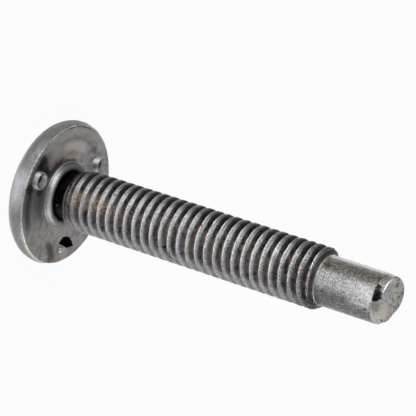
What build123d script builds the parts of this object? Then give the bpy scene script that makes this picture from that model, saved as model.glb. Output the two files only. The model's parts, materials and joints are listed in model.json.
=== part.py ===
from build123d import *

import os
from math import cos, pi, sin

# Weld screw, M6 x 1: a round pan head with welding points under it, a threaded
# shank and a plain pilot end. One solid, standing on the flat back of its head.
#
# It is drawn with the shank's axis on Z, the underside of the head on z = 0 and
# the tip up. At the end it is moved so that the back of the head stands on z = 0,
# with the head's middle over the origin. Angles round the head count from +X
# towards +Y. Millimetres throughout.

os.makedirs("parts", exist_ok=True)

# ---- driving dimensions ------------------------------------------------------

# thread, right hand, as a plain V
pitch = 1.0
crest_r = 2.95            # a rolled M6 crest, 0.1 under size across
root_r = 2.56
thread_phase = 0.13       # height of a crest on the +X side, modulo the pitch
thread_start = 1.50       # first edge of the thread above the underside
thread_end = 28.55        # last full crest before the pilot
lead_in = 0.85            # length of the shallow first turn
lead_in_r = 2.62
turn_points = 16          # points each turn's edges are drawn through

# head
head_r = 6.98
head_edge_r = 6.84        # outer edge of the land under the head
head_thick = 2.26
widest_at = 0.75          # how far behind the underside the rim is widest
edge_bevel = 0.10
back_round = 1.62
head_shift = 0.10         # the head sits this far off the shank's axis, towards -X

# underside: a shallow dish, a rolled bead and a groove round the neck
land_r = 6.05
dish_r = 3.80
dish_depth = 0.16
bead_r = 3.10
bead_in_r = 2.38
bead_height = 0.40
bead_bevel = 0.14
groove_depth = 0.14
neck_r = 2.22
neck_top = 1.20           # where the neck ends and the thread's core begins

# welding points: two raised buttons with a hollow top, and a pit where the
# third one is torn out
point_at = (113.0, 243.0)           # degrees round the head
point_r = 5.25                      # from the axis
nib_foot_r = 0.94
nib_top_r = 0.76
nib_height = 0.46                   # above the land
nib_bevel = 0.07
hollow_r = 0.55
hollow_bottom_r = 0.30
hollow_depth = 0.27
pit_at = 9.0
pit_r = 5.1
pit_outline = (                     # along the radius, round the head
    (-0.38, -1.12),
    (-0.77, -0.36),
    (-0.55, 0.49),
    (0.05, 1.01),
    (0.72, 1.15),
    (0.57, 0.13),
    (0.10, -0.45),
)
pit_sunk = 1.20
pit_draft = 4.0
burr_r = 0.32                       # what is left of the third point
burr_top_r = 0.16
burr_height = 0.26
burr_from_pit = (0.34, -0.80)

# pilot
pilot_r = 2.33
shoulder_len = 0.55
chamfer_at = 34.96
tip_at = 35.70
tip_r = 2.05
tip_shift = (-0.10, 0.10)           # the end face sits this far off the axis

pilot_base = thread_end + shoulder_len

# ---- head ----------------------------------------------------------------------

with BuildSketch(Plane.XZ) as head_section:
    with BuildLine():
        under = Polyline((0, -dish_depth), (dish_r, -dish_depth), (land_r, 0), (head_edge_r, 0))
        rim = Line(under @ 1, (head_r, -widest_at))
        back = RadiusArc(rim @ 1, (head_r - back_round, -head_thick), back_round)
        Polyline(back @ 1, (0, -head_thick), (0, -dish_depth))
    make_face()
head = revolve(head_section.sketch, Axis.Z)
land_edge = head.edges().filter_by(GeomType.CIRCLE).sort_by(
    lambda edge: abs(edge.radius - head_edge_r) + abs(edge.arc_center.Z)
)[0]
head = chamfer(land_edge, edge_bevel)
head = Pos(-head_shift, 0, 0) * head

# ---- bead, groove and neck -----------------------------------------------------

with BuildSketch(Plane.XZ) as neck_section:
    with BuildLine():
        Polyline(
            (0, -2 * dish_depth),
            (bead_r, -2 * dish_depth),
            (bead_r, bead_height - bead_bevel),
            (bead_r - bead_bevel, bead_height),
            (bead_in_r + bead_bevel, bead_height),
            (bead_in_r, bead_height - bead_bevel),
            (bead_in_r, -groove_depth),
            (neck_r, -groove_depth),
            (neck_r, neck_top),
            (0, neck_top),
            close=True,
        )
    make_face()
neck = revolve(neck_section.sketch, Axis.Z)

# ---- thread: one turn of two helical faces, stacked and closed --------------------

thread_profile = [(root_r, 0.0), (crest_r, pitch / 2), (root_r, pitch)]


def helix_edge(radius, height):
    """One right-hand turn, starting on the +X side."""
    steps = [i / turn_points for i in range(turn_points + 1)]
    points = []
    for step in steps:
        angle = 2 * pi * step
        points.append(Vector(radius * cos(angle), radius * sin(angle), height + pitch * step))
    along = Vector(0, 2 * pi * radius, pitch)
    return Edge.make_spline(points, tangents=[along, along], parameters=steps, scale=False)


def turn_end(height):
    """Close a stack of turns: a helicoid from the axis and the stepped face."""
    axis = Edge.make_line((0, 0, height), (0, 0, height + pitch))
    winding = Face.make_surface_from_curves(axis, helix_edge(root_r, height))
    corners = [(0, 0, height)]
    corners += [(r, 0, height + z) for r, z in thread_profile]
    corners.append((0, 0, height + pitch))
    return [winding, Face(Wire.make_polygon(corners, close=True))]


edges = [helix_edge(r, z) for r, z in thread_profile]
turn = [Face.make_surface_from_curves(low, high) for low, high in zip(edges, edges[1:])]
rod_bottom = thread_phase - pitch / 2 - pitch
rod_turns = round((pilot_base - rod_bottom) / pitch) + 2
skin = [Pos(0, 0, rod_bottom + k * pitch) * face for k in range(rod_turns) for face in turn]
skin += turn_end(rod_bottom)
skin += turn_end(rod_bottom + rod_turns * pitch)
rod = Solid(Shell(skin))

# the thread runs out on a cone at each end
spare = 0.4
lead_slope = (crest_r - lead_in_r) / lead_in
out_slope = (crest_r - pilot_r) / shoulder_len
with BuildSketch(Plane.XZ) as thread_limits:
    Polygon(
        (0, neck_top),
        (neck_r, neck_top),
        (lead_in_r, thread_start),
        (crest_r + spare, thread_start + lead_in + spare / lead_slope),
        (crest_r + spare, thread_end - spare / out_slope),
        (pilot_r, pilot_base),
        (0, pilot_base),
        align=None,
    )
thread = rod & revolve(thread_limits.sketch, Axis.Z)

# ---- pilot, with an end face a little off centre ----------------------------------

pilot_length = chamfer_at - pilot_base
pilot = Pos(0, 0, pilot_base + pilot_length / 2) * Cylinder(pilot_r, pilot_length)
chamfer_foot = Pos(0, 0, chamfer_at) * Circle(pilot_r)
end_face = Pos(*tip_shift, tip_at) * Circle(tip_r)
pilot += loft([chamfer_foot, end_face])

# ---- welding points ---------------------------------------------------------------


def under_head(angle, radius):
    """A place under the head: X out along the radius, Z away from the head."""
    return Rot(0, 0, angle) * Pos(radius, 0, 0)


on_base = (Align.CENTER, Align.CENTER, Align.MIN)
button = Cone(nib_foot_r, nib_top_r, nib_height + dish_depth, align=on_base)
button = Pos(0, 0, -dish_depth) * button
button = chamfer(button.edges().group_by(Axis.Z)[-1], nib_bevel)
hollow = Cone(hollow_bottom_r, hollow_r, hollow_depth, align=on_base)
button -= Pos(0, 0, nib_height - hollow_depth) * hollow
for angle in point_at:
    head += under_head(angle, point_r) * button

burr = Cone(burr_r, burr_top_r, burr_height + dish_depth, align=on_base)
head += under_head(pit_at, pit_r) * Pos(*burr_from_pit, -dish_depth) * burr
with BuildSketch() as pit_section:
    Polygon(*pit_outline, align=None)
pit = extrude(pit_section.sketch, -pit_sunk, taper=pit_draft)
pit += extrude(pit_section.sketch, 2 * burr_height)
head -= under_head(pit_at, pit_r) * pit

# ---- one solid, standing on the back of its head ------------------------------------

screw = Pos(head_shift, 0, head_thick) * (head + neck + thread + pilot)

export_step(screw, "parts/weld_screw.step")
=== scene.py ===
# %% [markdown]
# # A weld screw, from an empty scene to a worn steel finish
#
# A weld screw is forged and rolled from one piece of wire. A wide round head is
# pressed up at one end, three welding points are raised under it, the shank is
# rolled between two grooved dies until a thread stands up, and the far end stays
# plain so that a nut finds its way on. This file models that one piece in a
# single mesh and gives it one steel finish with grime, rust and scuffs in it,
# with shade, shadows and highlights painted into its colour as well.
# Everything is placed from the frame that the CAD model gives.

# %% Load the frame
import json
from math import atan2, cos, degrees, hypot, pi, radians, sin, sqrt

import bmesh
import bpy
from mathutils import Matrix, Vector, noise


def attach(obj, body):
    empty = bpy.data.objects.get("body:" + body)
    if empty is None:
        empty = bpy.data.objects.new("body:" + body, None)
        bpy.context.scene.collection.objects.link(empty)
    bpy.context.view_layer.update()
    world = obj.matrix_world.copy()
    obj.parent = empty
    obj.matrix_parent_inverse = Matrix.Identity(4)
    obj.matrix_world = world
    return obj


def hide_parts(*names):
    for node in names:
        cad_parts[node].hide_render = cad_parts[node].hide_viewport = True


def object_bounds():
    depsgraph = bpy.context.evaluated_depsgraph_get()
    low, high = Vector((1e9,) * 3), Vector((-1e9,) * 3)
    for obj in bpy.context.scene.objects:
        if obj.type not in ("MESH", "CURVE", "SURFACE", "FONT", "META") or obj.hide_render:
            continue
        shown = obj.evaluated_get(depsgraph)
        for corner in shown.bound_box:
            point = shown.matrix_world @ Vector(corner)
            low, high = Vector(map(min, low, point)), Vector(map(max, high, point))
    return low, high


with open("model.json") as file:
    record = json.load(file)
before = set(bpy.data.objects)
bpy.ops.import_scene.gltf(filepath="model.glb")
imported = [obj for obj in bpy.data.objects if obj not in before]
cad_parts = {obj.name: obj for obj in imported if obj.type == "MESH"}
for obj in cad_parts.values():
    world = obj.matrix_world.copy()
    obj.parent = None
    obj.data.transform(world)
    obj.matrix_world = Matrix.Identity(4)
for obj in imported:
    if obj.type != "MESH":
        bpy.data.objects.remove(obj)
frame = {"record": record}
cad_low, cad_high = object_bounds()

print("CAD box", tuple(cad_low), tuple(cad_high))

# %% [markdown]
# ## The camera
#
# The screw stands on its head, but a screw is easiest to read when it runs
# across the picture. So the camera looks down on it and is rolled on its side,
# and the tip points to the right. A long lens from a quarter of a metre away
# suits a thing as small as a thumb joint: it flattens the screw a little and
# keeps the far head from shrinking.

# %% Camera
MM = 0.001
centre = (cad_low + cad_high) / 2
camera_aim = centre + Vector((-2.863, 0.372, -1.165)) * MM
camera_bearing = radians(-20.917)
camera_height = radians(30.086)
camera_roll = radians(107.752)
camera_distance = 244.24 * MM
camera_lens = 231.77
sensor_width = 36.0
nearest_shown, farthest_shown = 0.01, 20.0


def direction(bearing, height):
    """A step of length 1: the bearing turns it from the front, the height lifts it."""
    return Vector((sin(bearing) * cos(height), -cos(bearing) * cos(height), sin(height)))


towards_camera = direction(camera_bearing, camera_height)
camera = bpy.data.objects.new("camera", bpy.data.cameras.new("camera"))
bpy.context.scene.collection.objects.link(camera)
camera.data.lens = camera_lens
camera.data.sensor_width = sensor_width
camera.data.clip_start = nearest_shown
camera.data.clip_end = farthest_shown
look = (-towards_camera).to_track_quat("-Z", "Y").to_matrix().to_4x4()
roll = Matrix.Rotation(camera_roll, 4, "Z")
camera.matrix_world = Matrix.Translation(camera_aim + towards_camera * camera_distance) @ look @ roll
bpy.context.scene.camera = camera
print("camera at", tuple(round(c / MM, 2) for c in camera.matrix_world.translation), "mm")

# %% [markdown]
# ## Where the screw stands
#
# The screw is modelled in millimetres, with the shank's axis on Z and the
# underside of the head on z = 0, and it is put in its place once at the end. The
# record's welding seat lies on the shank's axis, level with the tops of the
# welding points, so the underside is one point's height below it.

# %% Placing matrix
nib_height = 0.46
seat = {mount["name"]: mount for mount in frame["record"]["mounts"]}["weld_seat"]
underside = Vector(seat["pos_m"]) - Vector((0, 0, nib_height * MM))
place = Matrix.Translation(underside) @ Matrix.Scale(MM, 4)
print("underside of the head at", tuple(round(c / MM, 3) for c in underside), "mm")

# %% [markdown]
# ## The thread
#
# A rolled thread is one groove that winds round the shank. Spin does exactly
# that when it also lifts the outline at each step: one pitch of the outline goes
# once round while it climbs one pitch, and ends where the next turn starts. So
# one turn is spun, copies of it are stacked, and merging the doubled points
# closes the skin.
#
# The outline starts and ends in a rounded root. The crest between them keeps a
# shallow seam, where the metal flowed up from both sides, and the half nearer the
# head is squeezed a little, so that the crest is wider on that side.

# %% Thread section
pitch = 1.0
crest_r = 2.95
root_r = 2.43
half_section = [
    (root_r, 0.0),
    (root_r + 0.008, 0.030),
    (root_r + 0.040, 0.060),
    (root_r + 0.100, 0.088),
    (2.69, 0.160),
    (2.82, 0.228),
    (crest_r - 0.072, 0.258),
    (crest_r - 0.030, 0.296),
    (crest_r - 0.008, 0.350),
    (crest_r, 0.430),
    (crest_r - 0.014, 0.5),
]
squeeze = 0.84
section = [(r, z * squeeze) for r, z in half_section[:-1]] + half_section[-1:]
section += [(r, pitch - z) for r, z in half_section[-2::-1]]
print("section", len(section), "points")

# %% Thread skin
thread_phase = 0.13
thread_end = 28.55
shoulder_len = 0.55
pilot_base = thread_end + shoulder_len
steps_per_turn = 96
turn_joint = 0.004

skin_bottom = thread_phase - pitch / 2 - pitch
skin_turns = round((pilot_base - skin_bottom) / pitch) + 2

bm = bmesh.new()
points = [bm.verts.new((r, 0, skin_bottom + z)) for r, z in section]
lines = [bm.edges.new(pair) for pair in zip(points, points[1:])]
bmesh.ops.spin(
    bm,
    geom=points + lines,
    cent=(0, 0, 0),
    axis=(0, 0, 1),
    dvec=(0, 0, pitch / steps_per_turn),
    angle=2 * pi,
    steps=steps_per_turn,
)
one_turn = bm.verts[:] + bm.edges[:] + bm.faces[:]
for level in range(1, skin_turns):
    copy = bmesh.ops.duplicate(bm, geom=one_turn)["geom"]
    moved = [item for item in copy if isinstance(item, bmesh.types.BMVert)]
    bmesh.ops.translate(bm, vec=(0, 0, level * pitch), verts=moved)
bmesh.ops.remove_doubles(bm, verts=bm.verts, dist=turn_joint)
print("thread skin", len(bm.verts), "points", len(bm.faces), "faces")

# %% [markdown]
# At each end the thread runs out on a cone. A limit on the radius, given for
# every height, trims the skin without cutting it: points that stand out too far
# are drawn in to the limit. Past the cones the limit is the plain neck or the
# plain pilot.

# %% Thread ends
thread_start = 1.50
lead_in = 0.85
lead_in_r = 2.62
neck_r = 2.22
neck_top = 1.20
pilot_r = 2.33
far_below, far_above = -5.0, 60.0
limits = [
    (far_below, neck_r),
    (neck_top, neck_r),
    (thread_start, lead_in_r),
    (thread_start + lead_in, crest_r),
    (thread_end, crest_r),
    (pilot_base, pilot_r),
    (far_above, pilot_r),
]


def radius_limit(height):
    """The limit at one height, on straight lines between the listed ones."""
    for (z0, r0), (z1, r1) in zip(limits, limits[1:]):
        if z0 <= height < z1:
            return r0 + (r1 - r0) * (height - z0) / (z1 - z0)
    return pilot_r


trimmed = 0
for v in bm.verts:
    out = hypot(v.co.x, v.co.y)
    limit = radius_limit(v.co.z)
    if out > limit:
        v.co.x *= limit / out
        v.co.y *= limit / out
        trimmed += 1
print("points drawn in", trimmed)

# %% [markdown]
# ## Wear on the thread
#
# Wear moves points that are there already, and most of it moves them in or out.
# A few small helpers say where a point is, how near it is to a mark, and move it.

# %% Helpers for wear
def smooth_step(low, high, value):
    """0 below low, 1 above high, and an even S between them."""
    share = min(max((value - low) / (high - low), 0.0), 1.0)
    return share * share * (3 - 2 * share)


def polar(v):
    """How far a point is from the shank's axis, and its direction in degrees."""
    return hypot(v.co.x, v.co.y), degrees(atan2(v.co.y, v.co.x)) % 360


def turn_away(angle, other):
    """How far one direction is from another, in degrees."""
    return abs((angle - other + 180) % 360 - 180)


def distance_on(r, angle, height, mark):
    """How far a point is from a mark, an angle and a height, on a cylinder."""
    return hypot(radians(turn_away(angle, mark[0])) * r, height - mark[1])


def push_out(v, out, change):
    """Move a point away from the axis, or towards it."""
    v.co.x *= (out + change) / out
    v.co.y *= (out + change) / out


# %% [markdown]
# The crests are a little ragged, more so towards the tip. Noise that is cut off
# at zero leaves some stretches whole and draws others in.

# %% Ragged crests
ragged_grain = 2.3
ragged_depth = 0.03
ragged_more = 0.06
ragged_from, ragged_full = 6, 22


def raggedness(v):
    """How far a crest is drawn in at one point."""
    rough = max(noise.noise(v.co * ragged_grain), 0.0)
    return rough * (ragged_depth + ragged_more * smooth_step(ragged_from, ragged_full, v.co.z))


# %% [markdown]
# One side has been dragged along something. There the hollows are packed and the
# crests are rubbed down, so everything moves part of the way to one radius.

# %% Dragged side
dragged_at = 322.0
dragged_near, dragged_far = 14, 30
dragged_r = crest_r - 0.05
dragged_pull = 0.40
dragged_dip = 0.02


def dragged(out, angle, proud):
    """How far the dragged side moves out, or in where it is negative."""
    share = 1 - smooth_step(dragged_near, dragged_far, turn_away(angle, dragged_at))
    return share * ((dragged_r - out) * dragged_pull - dragged_dip * proud)


# %% [markdown]
# A nick runs slantwise across the thread: a row of round marks that overlap.

# %% Nick
nick_path = ((287.5, 13.30), (292.5, 13.50), (297.5, 13.66), (303.0, 13.76), (308.0, 13.86))
nick_depth = 0.26
nick_near, nick_far = 0.10, 0.24


def nick_cut(angle, height):
    """How deep the nick is at one place."""
    marks = (distance_on(crest_r, angle, height, mark) for mark in nick_path)
    return nick_depth * sum(1 - smooth_step(nick_near, nick_far, off) for off in marks)


# %% [markdown]
# The last turn ends in a clump of burrs, longer round the shank than along it.

# %% Clump of burrs
clump_at, clump_z = 316.0, 28.95
clump_wide, clump_high = 2.6, 1.3
clump_near, clump_far = 0.15, 0.55
clump_lift = 0.12
clump_grain = 4.3
clump_rough = 0.40


def clump_rise(v, angle):
    """How far the clump stands out at one point."""
    round_shank = radians(turn_away(angle, clump_at)) * crest_r / clump_wide
    off = hypot(round_shank, (v.co.z - clump_z) / clump_high)
    burrs = clump_lift + clump_rough * noise.noise(v.co * clump_grain)
    return (1 - smooth_step(clump_near, clump_far, off)) * burrs


# %% Wear the thread
proud_from, proud_full = 2.62, 2.90
worn_from, worn_to = neck_top + 0.2, pilot_base - 0.1
wave_grain = 1.9
wave_depth = 0.045
wave_offset = Vector((7, 3, 0))
touched = 0
for v in bm.verts:
    out, angle = polar(v)
    height = v.co.z
    if not worn_from < height < worn_to:
        continue
    proud = smooth_step(proud_from, proud_full, out)
    change = dragged(out, angle, proud) + clump_rise(v, angle)
    change -= (raggedness(v) + nick_cut(angle, height)) * proud
    push_out(v, out, change)
    v.co.z += wave_depth * proud * noise.noise(v.co * wave_grain + wave_offset)
    touched += 1
print("points moved by wear", touched)

# %% [markdown]
# The skin is then cut off square in the plain neck and in the plain pilot. Each
# cut leaves one open loop, which the head or the pilot is joined to later.

# %% Square ends
neck_cut = 0.95
pilot_cut = pilot_base + 0.25
cut_merge = 0.0005
loop_level = 0.001
for height, keep_above in ((neck_cut, True), (pilot_cut, False)):
    bmesh.ops.bisect_plane(
        bm,
        geom=bm.verts[:] + bm.edges[:] + bm.faces[:],
        dist=cut_merge,
        plane_co=(0, 0, height),
        plane_no=(0, 0, 1),
        clear_inner=keep_above,
        clear_outer=not keep_above,
    )


def open_loop(mesh, height):
    """The open edges that lie at one height."""
    return [
        e
        for e in mesh.edges
        if len(e.link_faces) == 1 and all(abs(v.co.z - height) < loop_level for v in e.verts)
    ]


print("neck loop", len(open_loop(bm, neck_cut)), "pilot loop", len(open_loop(bm, pilot_cut)))

# %% [markdown]
# ## The head
#
# The head is a round pan, pressed in a die. Half of its outline, spun once
# round the shank, gives the whole head with its neck: the groove at the foot of
# the neck, the bead that the punch left round it, the shallow dish, the flat
# land, the rounded rim and the plain back.

# %% Outlines
def arc(middle, radius, start, end, count):
    """Points on an arc, with angles in degrees from the outward direction."""
    turns = [radians(start + (end - start) * i / count) for i in range(count + 1)]
    return [(middle[0] + radius * cos(t), middle[1] + radius * sin(t)) for t in turns]


def evenly(start, end, count):
    """Points on a line, without its two ends."""
    return [tuple(a + (b - a) * i / count for a, b in zip(start, end)) for i in range(1, count)]


def spun(shape, steps):
    """A skin: an outline of radius and height, turned once round Z."""
    skin = bmesh.new()
    ring = [skin.verts.new((r, 0, z)) for r, z in shape]
    edges = [skin.edges.new(pair) for pair in zip(ring, ring[1:])]
    bmesh.ops.spin(
        skin,
        geom=ring + edges,
        cent=(0, 0, 0),
        axis=(0, 0, 1),
        angle=2 * pi,
        steps=steps,
        use_merge=True,
    )
    bmesh.ops.remove_doubles(skin, verts=skin.verts, dist=cut_merge)
    return skin


# %% Neck, bead and dish
bridge_gap = 0.12
groove_depth = 0.14
groove_round = 0.05
dish_r = 3.80
dish_depth = 0.16
bead_in_r = 2.33
bead_r = 3.18
bead_height = 0.42
bead_steps = 16

groove_z = -groove_depth + groove_round
outline = [(neck_r, neck_cut - bridge_gap), (neck_r, groove_z)]
outline += arc((neck_r + groove_round, groove_z), groove_round, 180, 270, count=3)[1:]
bead_half = (bead_r - bead_in_r) / 2
bead_middle = bead_in_r + bead_half
bead_tall = bead_height + dish_depth
for i in range(bead_steps + 1):
    aside = -bead_half * cos(pi * i / bead_steps)
    up = bead_tall * sqrt(max(1 - (aside / bead_half) ** 2, 0))
    outline.append((bead_middle + aside, -dish_depth + up))
outline.append((bead_r + 0.03, -dish_depth - 0.004))
dish_edge = (dish_r, -dish_depth)
outline += evenly(outline[-1], dish_edge, count=6) + [dish_edge]
print("outline up to the dish", len(outline), "points")

# %% Land, rim and back
land_r = 6.05
head_edge_r = 6.84
edge_round = 0.14
head_r = 6.98
head_thick = 2.26
back_round = 1.62
head_steps = 288

land_edge = (land_r, 0.0)
outline += evenly(dish_edge, land_edge, count=20) + [land_edge]
rim_fillet = (head_edge_r - edge_round, -edge_round)
outline += evenly(land_edge, (rim_fillet[0], 0.0), count=6)
outline += arc(rim_fillet, edge_round, 90, 12, count=5)
back_middle = (head_r - back_round, -head_thick + back_round)
outline += evenly(outline[-1], (head_r, back_middle[1]), count=5)
outline += arc(back_middle, back_round, 0, -90, count=16)
back_centre = (0.0, -head_thick)
outline += evenly(outline[-1], back_centre, count=8) + [back_centre]
head_bm = spun(outline, head_steps)
print("head outline", len(outline), "points, head", len(head_bm.verts), "points")

# %% [markdown]
# The die stood a little to one side of the shank, so the outer rings are moved
# over. The rim is slightly uneven and has three shallow dents.

# %% Rim wear
head_shift = 0.10
rim_grain = 0.9
rim_uneven = 0.025
rim_dents = ((272.3, -0.83), (297.9, -0.28), (228.0, -0.45))
dent_depth = 0.07
dent_near, dent_far = 0.08, 0.30
for v in head_bm.verts:
    out, angle = polar(v)
    if out > land_r:
        change = -rim_uneven * max(noise.noise(v.co * rim_grain), 0.0)
        for mark in rim_dents:
            off = distance_on(head_r, angle, v.co.z, mark)
            change -= dent_depth * (1 - smooth_step(dent_near, dent_far, off))
        push_out(v, out, change)
    v.co.x -= head_shift * smooth_step(dish_r, land_r, hypot(v.co.x, v.co.y))
print("rim dents", len(rim_dents))

# %% [markdown]
# ## The welding points
#
# Two raised buttons are left, each with a hollow in its top where the metal
# melts first. Each is a small outline spun round its own axis and made slightly
# square. The third has been torn out: it left a deep ragged pit with a bright
# burr beside it.

# %% Button, pit and burr
nib_foot_r = 0.94
nib_foot_z = 0.06
nib_top_r = 0.80
nib_edge = 0.08
nib_sunk = 0.5
nib_square = 0.07
nib_steps = 48
hollow_r = 0.67
hollow_depth = 0.30
hollow_steps = ((0.78, 0.62), (0.45, 0.92), (0.0, 1.0))
pit_outline = (
    (-0.38, -1.12),
    (-0.77, -0.36),
    (-0.55, 0.49),
    (0.05, 1.01),
    (0.72, 1.15),
    (0.57, 0.13),
    (0.10, -0.45),
)
pit_above = 0.6
pit_sunk = 1.20
pit_levels = ((0.0, 1.0), (-0.5, 0.93), (-pit_sunk, 0.72))
burr_r = 0.32
burr_scale = (0.95, 1.15, 0.75)


def button():
    """One welding point, spun round its own axis."""
    lip_z = nib_height - nib_edge
    shape = [(0.0, -nib_sunk), (nib_foot_r + 0.1, -nib_sunk), (nib_foot_r, -0.12)]
    shape += [(nib_foot_r - 0.04, nib_foot_z), (nib_top_r + 0.03, lip_z)]
    shape += arc((nib_top_r - nib_edge, lip_z), nib_edge, 20, 90, count=4)
    shape += [(hollow_r + 0.02, nib_height - 0.01), (hollow_r - 0.04, nib_height - 0.06)]
    for wide, deep in hollow_steps:
        shape.append((hollow_r * wide, nib_height - hollow_depth * deep))
    nib_bm = spun(shape, nib_steps)
    for v in nib_bm.verts:
        if hypot(v.co.x, v.co.y) > hollow_r:
            corner = sin(atan2(v.co.y, v.co.x) * 2) ** 2
            v.co.x *= 1 + nib_square * corner
            v.co.y *= 1 + nib_square * corner
    return nib_bm


def pit():
    """The cutter for the torn-out point: a ragged outline, narrower below."""
    pit_bm = bmesh.new()
    ring = [pit_bm.verts.new((x, y, pit_above)) for x, y in pit_outline]
    face = pit_bm.faces.new(ring)
    for z, scale in pit_levels:
        made = bmesh.ops.extrude_face_region(pit_bm, geom=[face])["geom"]
        corners = [item for item in made if isinstance(item, bmesh.types.BMVert)]
        bmesh.ops.delete(pit_bm, geom=[face], context="FACES_ONLY")
        face = next(item for item in made if isinstance(item, bmesh.types.BMFace))
        for corner, (x, y) in zip(corners, pit_outline):
            corner.co = (x * scale, y * scale, z)
    top = [v for v in pit_bm.verts if v.co.z > pit_above / 2]
    bmesh.ops.contextual_create(pit_bm, geom=top)
    return pit_bm


def burr():
    """What is left of the third point: a small dome beside the pit."""
    burr_bm = bmesh.new()
    bmesh.ops.create_icosphere(burr_bm, subdivisions=3, radius=burr_r)
    bmesh.ops.scale(burr_bm, vec=burr_scale, verts=burr_bm.verts)
    return burr_bm


# %% [markdown]
# A Boolean modifier joins and cuts them cleanly, because the small rings of a
# button and the big rings of the head run in different directions. Each tool is
# made round its own middle and then moved to its place under the head, with X
# out along the radius.

# %% Join and cut
point_at = (113.0, 243.0)
point_r = 5.25
pit_at = 9.0
pit_r = 5.1
burr_from_pit = (0.34, -0.80)


def as_object(mesh_bm, name):
    """Turn a bmesh into an object and free it."""
    bmesh.ops.recalc_face_normals(mesh_bm, faces=mesh_bm.faces)
    mesh = bpy.data.meshes.new(name)
    mesh_bm.to_mesh(mesh)
    mesh_bm.free()
    obj = bpy.data.objects.new(name, mesh)
    bpy.context.scene.collection.objects.link(obj)
    return obj


def under_head(angle, along, aside=0.0):
    """A place under the head: so far out along a radius, and so far beside it."""
    return Matrix.Rotation(radians(angle), 4, "Z") @ Matrix.Translation((along, aside, 0))


head = as_object(head_bm, "head")
pieces = [(button(), under_head(angle, point_r), "UNION") for angle in point_at]
burr_place = under_head(pit_at, pit_r + burr_from_pit[0], burr_from_pit[1])
pieces += [(burr(), burr_place, "UNION"), (pit(), under_head(pit_at, pit_r), "DIFFERENCE")]
for piece_bm, piece_place, operation in pieces:
    bmesh.ops.transform(piece_bm, matrix=piece_place, verts=piece_bm.verts)
    tool = as_object(piece_bm, "tool")
    cut = head.modifiers.new("cut", "BOOLEAN")
    cut.operation = operation
    cut.solver = "EXACT"
    cut.object = tool
    bpy.context.view_layer.update()
    graph = bpy.context.evaluated_depsgraph_get()
    result = bpy.data.meshes.new_from_object(head.evaluated_get(graph))
    head.modifiers.clear()
    head.data = result
    bpy.data.objects.remove(tool)
print("head with its points", len(head.data.polygons), "faces")

# %% [markdown]
# ## The pilot
#
# The plain end is turned to just under the thread's core. A chamfer leads to an
# end face that sits a little off the centre. It is one more spun outline, and
# the rings of the chamfer are moved over as the head's were. The edge of the end
# face has been battered: it is flattened at two places, deeply at the first, and
# stands out a little between them.

# %% Pilot
chamfer_at = 34.96
tip_at = 35.70
tip_r = 2.08
tip_edge = 0.08
pilot_steps = 144
tip_shift = (-0.10, 0.10)
tip_wear = ((25.0, 50.0, -0.42), (100.0, 42.0, 0.10), (258.0, 50.0, -0.12))

pilot_start = (pilot_r, pilot_cut + bridge_gap)
pilot_stop = (pilot_r, chamfer_at - 0.05)
tip_corner = (tip_r - tip_edge, tip_at - tip_edge)
tip_centre = (0.0, tip_at)
shape = [pilot_start] + evenly(pilot_start, pilot_stop, count=40)
shape += [pilot_stop, (pilot_r - 0.012, chamfer_at + 0.03)]
shape += evenly(shape[-1], (tip_r, tip_corner[1]), count=5)
shape += arc(tip_corner, tip_edge, 10, 90, count=4)
shape += evenly(shape[-1], tip_centre, count=10) + [tip_centre]
pilot_bm = spun(shape, pilot_steps)
for v in pilot_bm.verts:
    angle = polar(v)[1]
    share = smooth_step(chamfer_at, tip_corner[1], v.co.z)
    worn = sum(by * (1 - smooth_step(0, reach, turn_away(angle, at))) for at, reach, by in tip_wear)
    v.co.x += share * (tip_shift[0] + worn * v.co.x / tip_r)
    v.co.y += share * (tip_shift[1] + worn * v.co.y / tip_r)
pilot = as_object(pilot_bm, "pilot")
print("pilot", len(pilot.data.polygons), "faces")

# %% [markdown]
# ## One skin
#
# The three lengths are one piece of steel, so they become one mesh: the open
# loops at the neck and at the pilot are bridged across a narrow gap, and the
# normals are made to point outwards.

# %% Join the lengths
for part in (head, pilot):
    bm.from_mesh(part.data)
    bpy.data.objects.remove(part)
for height, other in ((neck_cut, neck_cut - bridge_gap), (pilot_cut, pilot_cut + bridge_gap)):
    bridge = bmesh.ops.bridge_loops(bm, edges=open_loop(bm, height) + open_loop(bm, other))
    longest = max(e.calc_length() for face in bridge["faces"] for e in face.edges)
    print("bridge of", len(bridge["faces"]), "faces, longest edge", round(longest, 3), "mm")
bmesh.ops.recalc_face_normals(bm, faces=bm.faces)
open_edges = [e for e in bm.edges if len(e.link_faces) != 2]
print("open or crowded edges", len(open_edges), "faces", len(bm.faces))

# %% Put the screw in its place
bmesh.ops.transform(bm, matrix=place, verts=bm.verts)
mesh = bpy.data.meshes.new("screw")
bm.to_mesh(mesh)
bm.free()
mesh.shade_smooth()
screw = bpy.data.objects.new("screw", mesh)
bpy.context.scene.collection.objects.link(screw)
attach(screw, "root")
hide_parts("weld_screw")
print("screw", len(mesh.vertices), "points")

# %% [markdown]
# ## Plain arithmetic for shader nodes
#
# The steel's finish depends on where on the screw a point lies: crest or root,
# neck, bead, rim or pilot. Written out as nodes, such sums are hard to read. So
# one small class wraps a socket: an expression on it adds Math nodes, and one
# method makes any other node.

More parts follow.
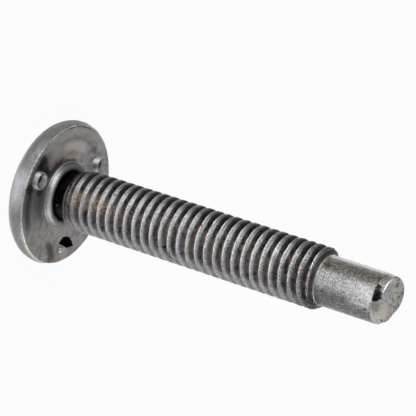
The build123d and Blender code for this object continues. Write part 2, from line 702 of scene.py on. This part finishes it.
# %% A socket in a sum
class Wire:
    """A node's output, which can be used in plain arithmetic."""

    def __init__(self, socket):
        self.socket = socket
        self.tree = socket.id_data

    def node(self, kind, settings, sockets, out=0):
        """Make a node: its settings first, then the values or links of its sockets."""
        made = self.tree.nodes.new(kind)
        for name, value in settings.items():
            setattr(made, name, value)
        for name, value in sockets.items():
            if isinstance(value, Wire):
                self.tree.links.new(value.socket, made.inputs[name])
            else:
                made.inputs[name].default_value = value
        return Wire(made.outputs[out])

    def math(self, operation, first, second=0.0):
        """A Math node on two numbers or wires."""
        return self.node("ShaderNodeMath", {"operation": operation}, {0: first, 1: second})

    def __add__(self, other):
        return self.math("ADD", self, other)

    def __sub__(self, other):
        return self.math("SUBTRACT", self, other)

    def __rsub__(self, other):
        return self.math("SUBTRACT", other, self)

    def __mul__(self, other):
        return self.math("MULTIPLY", self, other)

    def __truediv__(self, other):
        return self.math("DIVIDE", self, other)

    __radd__ = __add__
    __rmul__ = __mul__

    def rise(self, low, high):
        """A mask: 0 below low, 1 above high, soft in between."""
        ends = {"Value": self, "From Min": low, "From Max": high}
        return self.node("ShaderNodeMapRange", {"interpolation_type": "SMOOTHSTEP"}, ends)

    def fall(self, low, high):
        """A mask: 1 below low, 0 above high, soft in between."""
        return 1 - self.rise(low, high)

    def band(self, low, high, soft):
        """A mask: 1 between low and high, with soft ends."""
        return self.rise(low - soft, low + soft) * self.fall(high - soft, high + soft)

    def noise(self, scale, detail, roughness=0.5):
        """Even grain in all directions, about 0.5 in the middle."""
        sockets = {"Vector": self, "Scale": scale, "Detail": detail, "Roughness": roughness}
        return self.node("ShaderNodeTexNoise", {}, sockets)

    def away(self, place):
        """How far this point is from a place."""
        ends = {0: self, 1: place}
        return self.node("ShaderNodeVectorMath", {"operation": "DISTANCE"}, ends, out="Value")

    def cover(self, tint, mask):
        """Lay a colour over this one where the mask is 1."""
        sockets = {0: mask, 6: self, 7: (*tint, 1)}
        settings = {"data_type": "RGBA", "blend_type": "MIX"}
        return self.node("ShaderNodeMix", settings, sockets, out=2)


# %% [markdown]
# ## Finding the way on the screw
#
# Object coordinates are turned into millimetres from the middle of the
# underside. From these come the distance from the shank's axis, the turn round
# it in degrees, and the place across the thread: 0 on a crest, growing towards
# the tip, and one half in the root. Four grains, from coarse to fine, make
# everything uneven.

# %% Places on the screw
finish = bpy.data.materials.new("worn_steel")
finish.use_nodes = True
tree = finish.node_tree
body = tree.nodes["Principled BSDF"]

coordinates = Wire(tree.nodes.new("ShaderNodeTexCoord").outputs["Object"])
to_mm = {"Vector": coordinates, "Location": tuple(-underside / MM), "Scale": (1 / MM,) * 3}
spot = coordinates.node("ShaderNodeMapping", {"vector_type": "POINT"}, to_mm)
x, y, z = (spot.node("ShaderNodeSeparateXYZ", {}, {0: spot}, out=axis) for axis in range(3))
radius = spot.math("SQRT", x * x + y * y)
turn = spot.math("FRACT", spot.math("ARCTAN2", y, x) / (2 * pi)) * 360
across = spot.math("FRACT", z - thread_phase + 0.5 - turn / 360) - 0.5

coarse = spot.noise(0.55, 3.0)
medium = spot.noise(1.7, 4.0, 0.6)
fine = spot.noise(4.5, 4.0, 0.65)
grit = spot.noise(11.0, 2.0, 0.6)
print("places and grain", len(tree.nodes), "nodes")


# %% Marks at one place
def uneven(distance, reach, soft):
    """A mask of everything nearer than the reach, with an uneven edge."""
    return (distance + (medium - 0.5) * reach).fall(reach - soft, reach + soft)


def stain(place, reach, soft):
    """A mask round one place."""
    return uneven(spot.away(place), reach, soft)


def shank_mark(angle, height, reach, soft):
    """A mask round one place on the shank, however deep the thread is there."""
    sideways = (turn - angle) * (radians(1) * crest_r)
    along = z - height
    return uneven(spot.math("SQRT", sideways * sideways + along * along), reach, soft)


# %% [markdown]
# ## Bare steel, grime and painted shade
#
# New wire is bright. Rolling and handling leave it bright where it stands out,
# while old oil and a little rust stay in the hollows, which are also painted dark
# as shade. So the finish starts from mottled grey steel, and each of the others,
# grime as well as painted shade and highlights, is laid over it where it belongs.

# %% Mottled steel
grain_low, grain_high = 0.36, 0.64
speck = fine.rise(grain_low, grain_high)
dust = grit.rise(grain_low, grain_high)
blotch = medium.rise(grain_low, grain_high)
dark_steel = (0.21, 0.208, 0.208, 1)
light_steel = (0.62, 0.62, 0.635, 1)
mottled = {0: speck * 0.6 + dust * 0.4, 6: dark_steel, 7: light_steel}
colour = spot.node("ShaderNodeMix", {"data_type": "RGBA"}, mottled, out=2)
colour = colour.cover((0.30, 0.295, 0.29), blotch * 0.45)
print("mottled steel", len(tree.nodes), "nodes")

# %% [markdown]
# One side of the shank is painted lighter, as a highlight. Below it, the tip side
# of each crest and the groove after it are painted darker, as shade, and more so
# in the half near the tip, which is also more pitted.

# %% Painted highlight and painted shade
# Painted highlight: this side of the shank is lighter in colour.
shank_highlight_length = z.rise(neck_top, neck_top + 0.8) * z.fall(thread_end + 0.05, thread_end + 0.45)
shank_highlight = shank_highlight_length * turn.band(206, 268, 14)
colour = colour.cover((0.84, 0.84, 0.86), shank_highlight * (0.10 + speck * 0.42))
tip_half = z.rise(11, 19)
# Painted shade: the tip side of each crest and the groove after it are darker here.
tip_side_shade = turn.band(244, 298, 14) * across.rise(-0.10, 0.04) * (0.25 + (1 - dust) * 0.35)
colour = colour.cover((0.22, 0.215, 0.21), tip_side_shade * (0.65 + tip_half * 0.35))
pitted = tip_half * grit.fall(0.42, 0.50) * fine.fall(0.48, 0.58)
colour = colour.cover((0.10, 0.10, 0.10), pitted * 0.85)
print("bright and dull sides", len(tree.nodes), "nodes")

# %% [markdown]
# A crest is what stands out far enough, up to a ragged edge on its tip side. All
# the rest of the thread is hollow, and its colour is darkened there as painted shade.

# %% Crests and hollows
threaded = z.band(neck_top + 0.1, pilot_base - 0.05, 0.2)
crest_edge = 0.21 - turn.band(236, 292, 14) * 0.08
ragged = (across + (fine - 0.5) * 0.14).fall(crest_edge - 0.12, crest_edge + 0.10)
crest = threaded * radius.rise(crest_r - 0.20, crest_r - 0.08) * ragged
hollow = threaded * (1 - crest)
# Painted shade: the hollows of the thread are darkened.
colour = colour.cover((0.13, 0.13, 0.137), hollow * 0.94)
print("crests and hollows", len(tree.nodes), "nodes")

# %% [markdown]
# Grey dirt, brown rust and pale dust lie in the grooves of one side, thickest in
# the first few grooves after the head, and the floors of these grooves are painted
# pale as a reflection. Black oil has gathered here and there all round.

# %% Dirt and rust in the grooves, and a painted reflection
rust_and_reflection_grooves = hollow * turn.band(226, 296, 20)
in_groove = across.fall(-0.22, -0.16) + across.rise(0.30, 0.42)
groove_floor_reflection = across.fall(-0.30, -0.22) + across.rise(0.36, 0.46)
rust = in_groove * medium.rise(0.47, 0.58) * fine.rise(0.42, 0.56)
oily = hollow * medium.fall(0.42, 0.50)
first_grooves = hollow * z.band(2.0, 7.5, 1.0) * turn.band(236, 262, 8)
colour = colour.cover((0.33, 0.305, 0.285), rust_and_reflection_grooves * in_groove * (0.25 + speck * 0.6))
colour = colour.cover((0.50, 0.33, 0.22), rust_and_reflection_grooves * rust * 0.75)
colour = colour.cover((0.60, 0.55, 0.51), rust_and_reflection_grooves * grit.rise(0.54, 0.62) * 0.5)
colour = colour.cover((0.015, 0.015, 0.018), oily * (0.35 + (1 - speck) * 0.4))
# Painted reflection: the floors of these grooves are painted pale.
colour = colour.cover((0.62, 0.56, 0.52), rust_and_reflection_grooves * groove_floor_reflection * (0.20 + speck * 0.5))
colour = colour.cover((0.78, 0.62, 0.48), first_grooves * speck * 0.65)
print("dirt and rust", len(tree.nodes), "nodes")

# %% [markdown]
# The upper side is painted nearly black as shade, with thin lighter lines on it as
# painted highlights. On one side the edge of each crest that faces the head is
# painted as a thin bright line, a painted highlight, and near the tip the tip side
# of the crests there is painted darker as shade. The crests behind the edges have
# small dark pits.

# %% Painted shade, pits and painted edge highlights
# Painted shade: the upper side is nearly black, with thin lighter lines as painted highlights.
shaded_upper_side = threaded * turn.band(150, 204, 20)
upper_highlight_line = across.band(-0.24, -0.06, 0.05)
colour = colour.cover((0.040, 0.042, 0.050), shaded_upper_side * (0.90 - upper_highlight_line * 0.35))
dark_pits = crest * grit.fall(0.38, 0.46) * coarse.rise(0.40, 0.6)
colour = colour.cover((0.05, 0.045, 0.045), dark_pits * 0.9)
# Painted highlight: a thin bright line on the head side of each crest.
crest_edge_highlight = threaded * across.band(-0.34, -0.13, 0.035) * radius.rise(2.62, 2.74)
# Painted shade: near the tip the tip side of the crests is darker.
tip_crest_shade = crest * tip_half * turn.band(200, 250, 12) * across.rise(-0.08, 0.04)
colour = colour.cover((0.17, 0.167, 0.165), tip_crest_shade * (0.25 + (1 - dust) * 0.50))
for tint, highlight_side, least, more in (
    ((0.92, 0.92, 0.93), turn.band(238, 290, 14), 0.15, 0.40),
    ((1.0, 1.0, 1.0), turn.band(200, 246, 10) * tip_half, 0.35, 0.50),
    ((1.0, 1.0, 1.0), turn.band(236, 270, 12), 0.25, 0.50),
):
    colour = colour.cover(tint, crest_edge_highlight * highlight_side * (least + dust * more))
print("scale and worn edges", len(tree.nodes), "nodes")

# %% [markdown]
# The side that was dragged is painted pale, with pale dust and a painted
# reflection, and it has dark flecks. The nick is black, and a few dots of fresh
# rust are scattered along the shank.

# %% Dragged side, nick and rust dots
# Pale dust and painted reflection on the dragged side, with dark flecks.
dust_and_reflection_side = turn.band(300, 348, 12) * threaded
colour = colour.cover((0.40, 0.385, 0.375), dust_and_reflection_side * (0.45 + dust * 0.45))
colour = colour.cover((0.13, 0.125, 0.12), dust_and_reflection_side * fine.fall(0.42, 0.50) * 0.75)
nick_reach, nick_soft = 0.19, 0.07
nick, *more_marks = (shank_mark(at, height, nick_reach, nick_soft) for at, height in nick_path)
for mark in more_marks:
    nick = nick.math("MAXIMUM", nick, mark)
colour = colour.cover((0.008, 0.008, 0.008), nick * 0.97)
rust_dots = (
    (223.0, 16.40, 0.22),
    (229.8, 22.24, 0.19),
    (216.0, 25.30, 0.12),
    (268.0, 6.40, 0.10),
)
for at, height, reach in rust_dots:
    colour = colour.cover((0.22, 0.075, 0.012), shank_mark(at, height, reach, 0.05) * 0.95)
print("nick and rust dots", len(tree.nodes), "nodes")

# %% [markdown]
# The last turns are peppered with dirt, the run-out behind them is dark with one
# light line round it, and the clump of burrs is nearly black.

# %% Last turns
last_turns = threaded * z.rise(25.0, 27.6)
colour = colour.cover((0.07, 0.065, 0.06), last_turns * grit.fall(0.47, 0.53) * 0.85)
run_out = threaded * z.band(thread_end + 0.22, pilot_base - 0.12, 0.12)
colour = colour.cover((0.055, 0.052, 0.05), run_out * (0.35 + (1 - dust) * 0.6))
last_line = threaded * z.band(pilot_base - 0.42, pilot_base - 0.36, 0.04) * turn.band(165, 275, 20)
colour = colour.cover((0.66, 0.65, 0.64), last_line * (0.1 + dust * 0.6))
clump = shank_mark(clump_at - 8, clump_z - 0.15, 1.0, 0.4)
colour = colour.cover((0.035, 0.033, 0.032), clump * (0.45 + (1 - speck) * 0.5))
print("last turns", len(tree.nodes), "nodes")

# %% [markdown]
# ## The finish of the head
#
# The underside is lighter than the shank, with grey, brown and bluish blotches
# and one darker sector.

# %% Underside
under = z.band(-0.30, 0.06, 0.03) * radius.band(bead_r, head_edge_r + 0.05, 0.06)
blotches = (
    ((0.68, 0.66, 0.65), 0.70),
    ((0.33, 0.30, 0.27), coarse.rise(0.42, 0.62) * 0.45),
    ((0.22, 0.22, 0.23), medium.fall(0.40, 0.52) * 0.45),
    ((0.62, 0.57, 0.52), medium.rise(0.52, 0.62) * 0.35),
    ((0.15, 0.15, 0.15), turn.band(232, 286, 16) * (0.45 + blotch * 0.35)),
    ((0.60, 0.47, 0.38), fine.rise(0.54, 0.62) * coarse.rise(0.45, 0.6) * 0.40),
    ((0.24, 0.25, 0.28), fine.fall(0.38, 0.46) * 0.35),
)
for tint, strength in blotches:
    colour = colour.cover(tint, under * strength)
print("underside", len(tree.nodes), "nodes")

# %% [markdown]
# Rust, dirt and pale tones lie in arcs round the shank, with painted shadow in two
# arcs beside the bead and painted reflections in three: two lighter and one dark.
# Each arc has a radius, a half width, a first and a last direction, a colour and a
# strength.

# %% Arcs
arcs = (
    (4.20, 0.14, 176, 212, (0.62, 0.38, 0.24), 0.60),
    # Painted reflection: a lighter arc.
    (4.75, 0.40, 146, 190, (0.84, 0.81, 0.77), 0.65),
    (6.30, 0.22, 150, 200, (0.62, 0.46, 0.38), 0.40),
    (6.70, 0.10, 150, 190, (0.05, 0.048, 0.045), 0.70),
    (5.55, 0.16, 140, 200, (0.30, 0.29, 0.30), 0.50),
    (6.30, 0.30, 120, 215, (0.62, 0.58, 0.54), 0.45),
    # Painted shadow beside the bead: this arc and the next.
    (3.60, 0.34, 190, 228, (0.055, 0.045, 0.04), 0.85),
    (3.38, 0.18, 158, 192, (0.09, 0.08, 0.075), 0.80),
    # Painted reflection: a dark bluish band.
    (5.95, 0.40, 250, 292, (0.075, 0.08, 0.095), 0.80),
    # Painted reflection: a lighter streak.
    (5.15, 0.22, 256, 294, (0.42, 0.42, 0.43), 0.50),
    (3.95, 0.40, 240, 300, (0.20, 0.195, 0.19), 0.60),
)
arc_unevenness = 0.5
arc_fade = 8
for middle, half, first, last, tint, strength in arcs:
    wobbly = radius + (medium - 0.5) * arc_unevenness
    mark = wobbly.band(middle - half, middle + half, half * 0.6)
    colour = colour.cover(tint, under * mark * turn.band(first, last, arc_fade) * strength)
print("arcs", len(tree.nodes), "nodes")

# %% [markdown]
# Smears of oil, two pale patches, and painted shadow and dark reflection round the
# left welding point are round stains. Each has a place, a reach, a colour and a
# strength.

# %% Stains
stains = (
    # Painted shadow and dark reflection beside the left welding point: these four.
    ((-4.05, -4.10, 0), 0.60, (0.024, 0.022, 0.022), 0.95),
    ((-3.55, -4.60, 0), 0.62, (0.020, 0.020, 0.020), 0.95),
    ((-3.00, -3.60, 0), 0.62, (0.024, 0.022, 0.022), 0.95),
    ((-2.55, -3.00, 0), 0.45, (0.045, 0.040, 0.038), 0.85),
    ((-1.75, -5.95, 0), 0.50, (0.030, 0.030, 0.032), 0.85),
    ((-3.71, 3.95, 0), 0.42, (0.13, 0.13, 0.14), 0.70),
    # Painted shadow below the left welding point.
    ((-1.06, -4.15, 0), 0.42, (0.04, 0.04, 0.045), 0.80),
    ((4.80, -1.95, 0), 0.50, (0.14, 0.14, 0.15), 0.80),
    ((5.35, -1.70, 0), 0.52, (0.12, 0.12, 0.13), 0.80),
    ((5.95, -1.45, 0), 0.55, (0.12, 0.12, 0.13), 0.80),
    ((3.55, 0.20, 0), 0.80, (0.56, 0.51, 0.46), 0.85),
    ((6.10, 0.50, 0), 0.65, (0.62, 0.57, 0.52), 0.85),
)
for middle, reach, tint, strength in stains:
    colour = colour.cover(tint, under * stain(middle, reach, reach * 0.5) * strength)
print("stains", len(tree.nodes), "nodes")

# %% [markdown]
# The rim is grimy and mottled. Its colour is painted darker on the upper and lower
# sides as shade, and lighter on one side as a highlight. A thin bright line along
# its edge is a painted highlight.

# %% Rim
rim = radius.rise(head_edge_r - 0.10, head_edge_r + 0.04)
# Painted highlight on one side of the rim.
rim_highlight = turn.band(243, 268, 9) * z.band(-1.6, -0.1, 0.3)
rim_tints = (
    ((0.24, 0.24, 0.245), 0.45 + (1 - speck) * 0.30),
    # Painted shade: these three darken the rim on its upper side, its lower side and beside the
    # highlight.
    ((0.13, 0.127, 0.118), turn.band(120, 218, 16) * (0.55 + (1 - speck) * 0.30)),
    ((0.20, 0.197, 0.19), turn.band(262, 350, 12) * 0.55),
    ((0.12, 0.12, 0.123), turn.band(200, 240, 10) * (0.30 + (1 - dust) * 0.45)),
    ((0.72, 0.72, 0.75), rim_highlight * (0.30 + dust * 0.50)),
)
for tint, strength in rim_tints:
    colour = colour.cover(tint, rim * strength)
# Painted highlight: a thin bright line along the rim's edge.
rim_edge_highlight = radius.band(head_edge_r - 0.12, head_edge_r + 0.03, 0.03) * z.band(-0.13, 0.01, 0.03)
rim_edge_highlight = rim_edge_highlight * (1 - turn.band(252, 350, 10) * 0.6)
colour = colour.cover((0.95, 0.95, 0.96), rim_edge_highlight * fine.rise(0.40, 0.52))
print("rim", len(tree.nodes), "nodes")

# %% [markdown]
# The hollow of each welding point is light, with one wall painted black as shade.
# The bead is painted bright as a highlight, dark at one end as shade and greyer at
# the other. The neck inside it is black, with grime and painted deep shade, a
# little lighter on its lower side, and has one yellowish painted glint.

# %% Welding points, bead and neck
cup_middle = Vector((0, 0, nib_height - 0.10))
cup_to_shade = Vector((-0.14, -0.20, -0.12))
for at in point_at:
    cup = under_head(at, point_r).translation + cup_middle
    colour = colour.cover((0.42, 0.42, 0.45), stain(tuple(cup), 0.55, 0.08) * 0.8)
    # Painted shade: one wall of each hollow is black.
    colour = colour.cover((0.02, 0.02, 0.024), stain(tuple(cup + cup_to_shade), 0.38, 0.10) * 0.95)
bead = radius.band(bead_in_r - 0.02, bead_r + 0.05, 0.05) * z.band(-0.05, 0.5, 0.08)
# Painted highlight on the bead, then painted shade at one end and a greyer other end.
colour = colour.cover((0.62, 0.62, 0.63), bead * (0.55 + speck * 0.3))
colour = colour.cover((0.10, 0.10, 0.105), bead * turn.band(120, 220, 18) * 0.78)
colour = colour.cover((0.30, 0.285, 0.27), bead * turn.rise(284, 304) * 0.75)
neck = radius.fall(bead_in_r - 0.01, bead_in_r + 0.03) * z.band(-0.4, neck_top + 0.1, 0.12)
# Grime and painted deep shade: the neck is black, a little lighter on its lower side.
colour = colour.cover((0.008, 0.008, 0.008), neck * (1 - turn.band(285, 340, 14) * 0.10))
# Painted glint: a small yellowish fleck on the neck.
colour = colour.cover((0.55, 0.50, 0.34), neck * shank_mark(281.0, 0.55, 0.12, 0.06) * 0.6)
print("points, bead and neck", len(tree.nodes), "nodes")

# %% [markdown]
# The torn pit is painted black as shade: everything near it that lies below the
# slope of the dish. The burr beside it is bright metal.

# %% Torn pit and its burr
burr_middle = (*burr_place.translation.xy, 0.1)
colour = colour.cover((0.70, 0.66, 0.63), stain(burr_middle, 0.38, 0.10) * 0.9)
dish_slope = dish_depth / (land_r - dish_r)
below_dish = z + (land_r - radius) * dish_slope
pit_middle = (*under_head(pit_at, pit_r).translation.xy, -0.5)
# Painted shade: the pit is black.
pit_shade = below_dish.fall(-0.08, -0.03) * spot.away(pit_middle).fall(1.50, 1.56)
colour = colour.cover((0.003, 0.003, 0.003), pit_shade)
print("pit and burr", len(tree.nodes), "nodes")

# %% [markdown]
# ## The finish of the pilot
#
# The pilot was turned, so its grain is drawn out. Its colour carries painted light
# and shade: the upper side is darker brown as shade, a bright line runs along the
# top edge, the lower side is darker as shade and the side between is painted
# lighter as a highlight, brightest near the tip. A thin bright line round the
# shoulder is a painted highlight too.

# %% Pilot finish
plain_end = z.rise(pilot_base - 0.10, pilot_base + 0.04)
drawn_out = {"Vector": spot, "Scale": (2.6, 2.6, 1.5)}
brushed = spot.node("ShaderNodeMapping", {"vector_type": "POINT"}, drawn_out)
streak = brushed.noise(2.0, 5.0, 0.7).rise(0.38, 0.62)
# Painted highlight near the tip.
tip_highlight = z.rise(31.5, 34.3) * turn.band(236, 284, 14)
pilot_tints = (
    ((0.13, 0.127, 0.122), (1 - streak) * 0.8),
    # Painted shade: darker brown on the upper side.
    ((0.09, 0.077, 0.057), turn.band(192, 224, 12) * (0.92 - streak * 0.42)),
    # Painted highlight: a bright line along the top edge.
    ((0.80, 0.80, 0.78), turn.fall(178, 190) * turn.rise(90, 120) * 0.8),
    # Painted shade: darker on the lower side.
    ((0.12, 0.115, 0.11), turn.band(270, 322, 12) * (0.88 - streak * 0.40)),
    # Painted highlight: lighter on the side between.
    ((0.80, 0.80, 0.82), turn.band(232, 264, 12) * (0.15 + dust * 0.55)),
    # Painted highlight: brightest near the tip.
    ((0.95, 0.95, 0.97), tip_highlight * (0.25 + speck * 0.45)),
    ((0.06, 0.055, 0.05), grit.fall(0.38, 0.45) * 0.75),
)
for tint, strength in pilot_tints:
    colour = colour.cover(tint, plain_end * strength)
brown_spots = (
    (215.2, 29.67, 0.34, (0.07, 0.042, 0.027)),
    (285.0, 34.39, 0.17, (0.10, 0.045, 0.02)),
    (285.0, 35.31, 0.15, (0.12, 0.05, 0.02)),
    (206.0, 34.80, 0.25, (0.07, 0.055, 0.045)),
)
for at, height, reach, tint in brown_spots:
    colour = colour.cover(tint, shank_mark(at, height, reach, reach * 0.5) * 0.85)
# Painted highlight: a thin bright line round the shoulder.
shoulder_highlight = z.band(pilot_base - 0.05, pilot_base + 0.02, 0.025)
colour = colour.cover((0.70, 0.69, 0.68), shoulder_highlight * (0.30 + dust * 0.45))
print("pilot", len(tree.nodes), "nodes")

# %% [markdown]
# The chamfer is chipped: a row of overlapping marks leaves it black at one
# place. It is dark brown on one side of the chips and greyish brown on the other.

# %% Chamfer
chamfer = z.band(chamfer_at, tip_at - 0.06, 0.03)
chamfer_line = z.band(chamfer_at - 0.06, chamfer_at + 0.02, 0.03)
colour = colour.cover((0.60, 0.59, 0.58), chamfer * (0.45 + speck * 0.45))
colour = colour.cover((0.10, 0.085, 0.07), chamfer * turn.band(180, 232, 10) * (0.9 - dust * 0.4))
colour = colour.cover((0.27, 0.245, 0.22), chamfer * turn.band(262, 322, 10) * (0.85 - dust * 0.40))
colour = colour.cover((0.05, 0.045, 0.04), chamfer_line * turn.band(180, 250, 8) * 0.8)
chips = (
    (226.0, 35.10, 0.28),
    (238.0, 35.24, 0.38),
    (248.0, 35.28, 0.40),
    (256.0, 35.16, 0.26),
)
for at, height, reach in chips:
    chip = shank_mark(at, height, reach, reach * 0.4)
    colour = colour.cover((0.008, 0.008, 0.012), chamfer * chip * 0.97)
print("chamfer", len(tree.nodes), "nodes")

# %% [markdown]
# The end face is light grey with dark specks, one creamy patch and brown blotches
# on the far half. Its edge is painted bright on the near side, as a highlight, and
# black on the far side, as shadow.

# %% End face
face_end = z.rise(tip_at - 0.03, tip_at - 0.01)
creamy = stain((0.9, -1.2, tip_at), 0.80, 0.4)
face_tints = (
    ((0.86, 0.85, 0.84), 0.55 + speck * 0.30),
    ((0.12, 0.11, 0.10), fine.fall(0.38, 0.46) * 0.55),
    ((1.0, 0.93, 0.80), creamy * 0.9),
    ((0.16, 0.12, 0.10), medium.fall(0.38, 0.46) * y.rise(-0.3, 0.6) * 0.8),
)
for tint, strength in face_tints:
    colour = colour.cover(tint, face_end * strength)
# Painted highlight on the near side of the end face's edge.
near_edge_highlight = z.rise(tip_at - 0.12, tip_at - 0.09) * radius.rise(tip_r - 0.12, tip_r - 0.06)
colour = colour.cover((0.95, 0.95, 0.96), near_edge_highlight * turn.band(186, 300, 8))
# Painted shadow on the far side of the end face's edge.
far_edge_shadow = z.band(tip_at - 0.15, tip_at - 0.012, 0.012) * (1 - turn.band(178, 316, 6))
colour = colour.cover((0.015, 0.014, 0.014), far_edge_shadow * 0.95)
print("end face", len(tree.nodes), "nodes")

# %% [markdown]
# The hollows are rougher than the crests, the grain makes a very fine relief, and
# the dragged side, painted pale as dust and a reflection, is only half metallic.

# %% Gloss and grain
relief_strength = 0.5
relief_height = 0.00004
roughness = 0.30 + blotch * 0.10 + speck * 0.12 + hollow * 0.08
grain = blotch * 0.4 + speck * 0.5 + dust * 0.25
relief = {"Height": grain, "Strength": relief_strength, "Distance": relief_height}
bump = spot.node("ShaderNodeBump", {}, relief)
metal = 1 - dust_and_reflection_side * 0.5
tree.links.new(colour.socket, body.inputs["Base Color"])
tree.links.new(metal.socket, body.inputs["Metallic"])
tree.links.new(roughness.socket, body.inputs["Roughness"])
tree.links.new(bump.socket, body.inputs["Normal"])
screw.data.materials.append(finish)
print("worn steel", len(tree.nodes), "nodes")

# %% [markdown]
# ## The floor and the lamps
#
# A pale floor, a soft key lamp, a weaker fill lamp and a dim room are enough for
# steel. The floor shows as white to the camera and in the steel's own
# reflections, but it still takes the screw's shadow.

# %% Floor
floor_size = 3.0
floor_glow = 0.94
bpy.ops.mesh.primitive_grid_add(x_subdivisions=4, y_subdivisions=4, size=floor_size)
floor = bpy.context.object
floor.name = "floor"
paint = bpy.data.materials.new("floor_white")
paint.use_nodes = True
paint_tree = paint.node_tree
paint_tree.nodes.clear()
seen = Wire(paint_tree.nodes.new("ShaderNodeLightPath").outputs["Is Camera Ray"])
mirrored = Wire(seen.socket.node.outputs["Is Glossy Ray"])
shown_white = seen.math("MAXIMUM", seen, mirrored) * floor_glow
glow = seen.node("ShaderNodeEmission", {}, {"Color": (1, 1, 1, 1), "Strength": 1.0})
chalk = seen.node("ShaderNodeBsdfDiffuse", {}, {"Color": (0.9, 0.9, 0.9, 1)})
blend = seen.node("ShaderNodeMixShader", {}, {0: shown_white, 1: chalk, 2: glow})
end = paint_tree.nodes.new("ShaderNodeOutputMaterial")
paint_tree.links.new(blend.socket, end.inputs["Surface"])
floor.data.materials.append(paint)
print("floor", floor_size, "m wide")

# %% Lamps and room
lamp_distance = 0.35
lamp_size = 0.30
room_strength = 0.42


def lamp(name, bearing, height, power):
    """A square soft lamp that looks at the middle of the screw."""
    towards_lamp = direction(radians(bearing), radians(height))
    light = bpy.data.lights.new(name, "AREA")
    light.shape = "SQUARE"
    light.size = lamp_size
    light.energy = power
    obj = bpy.data.objects.new(name, light)
    facing = towards_lamp.to_track_quat("Z", "Y").to_matrix().to_4x4()
    obj.matrix_world = Matrix.Translation(centre + towards_lamp * lamp_distance) @ facing
    obj.visible_camera = False
    bpy.context.scene.collection.objects.link(obj)


lamp("key", -66, 12, 0.75)
lamp("fill", 75, 10, 0.5)

room = bpy.data.worlds.new("room")
bpy.context.scene.world = room
room.use_nodes = True
room_light = room.node_tree.nodes["Background"]
room_light.inputs["Color"].default_value = (1, 1, 1, 1)
room_light.inputs["Strength"].default_value = room_strength
bpy.context.scene.view_settings.view_transform = "Standard"
print("two lamps and a room")
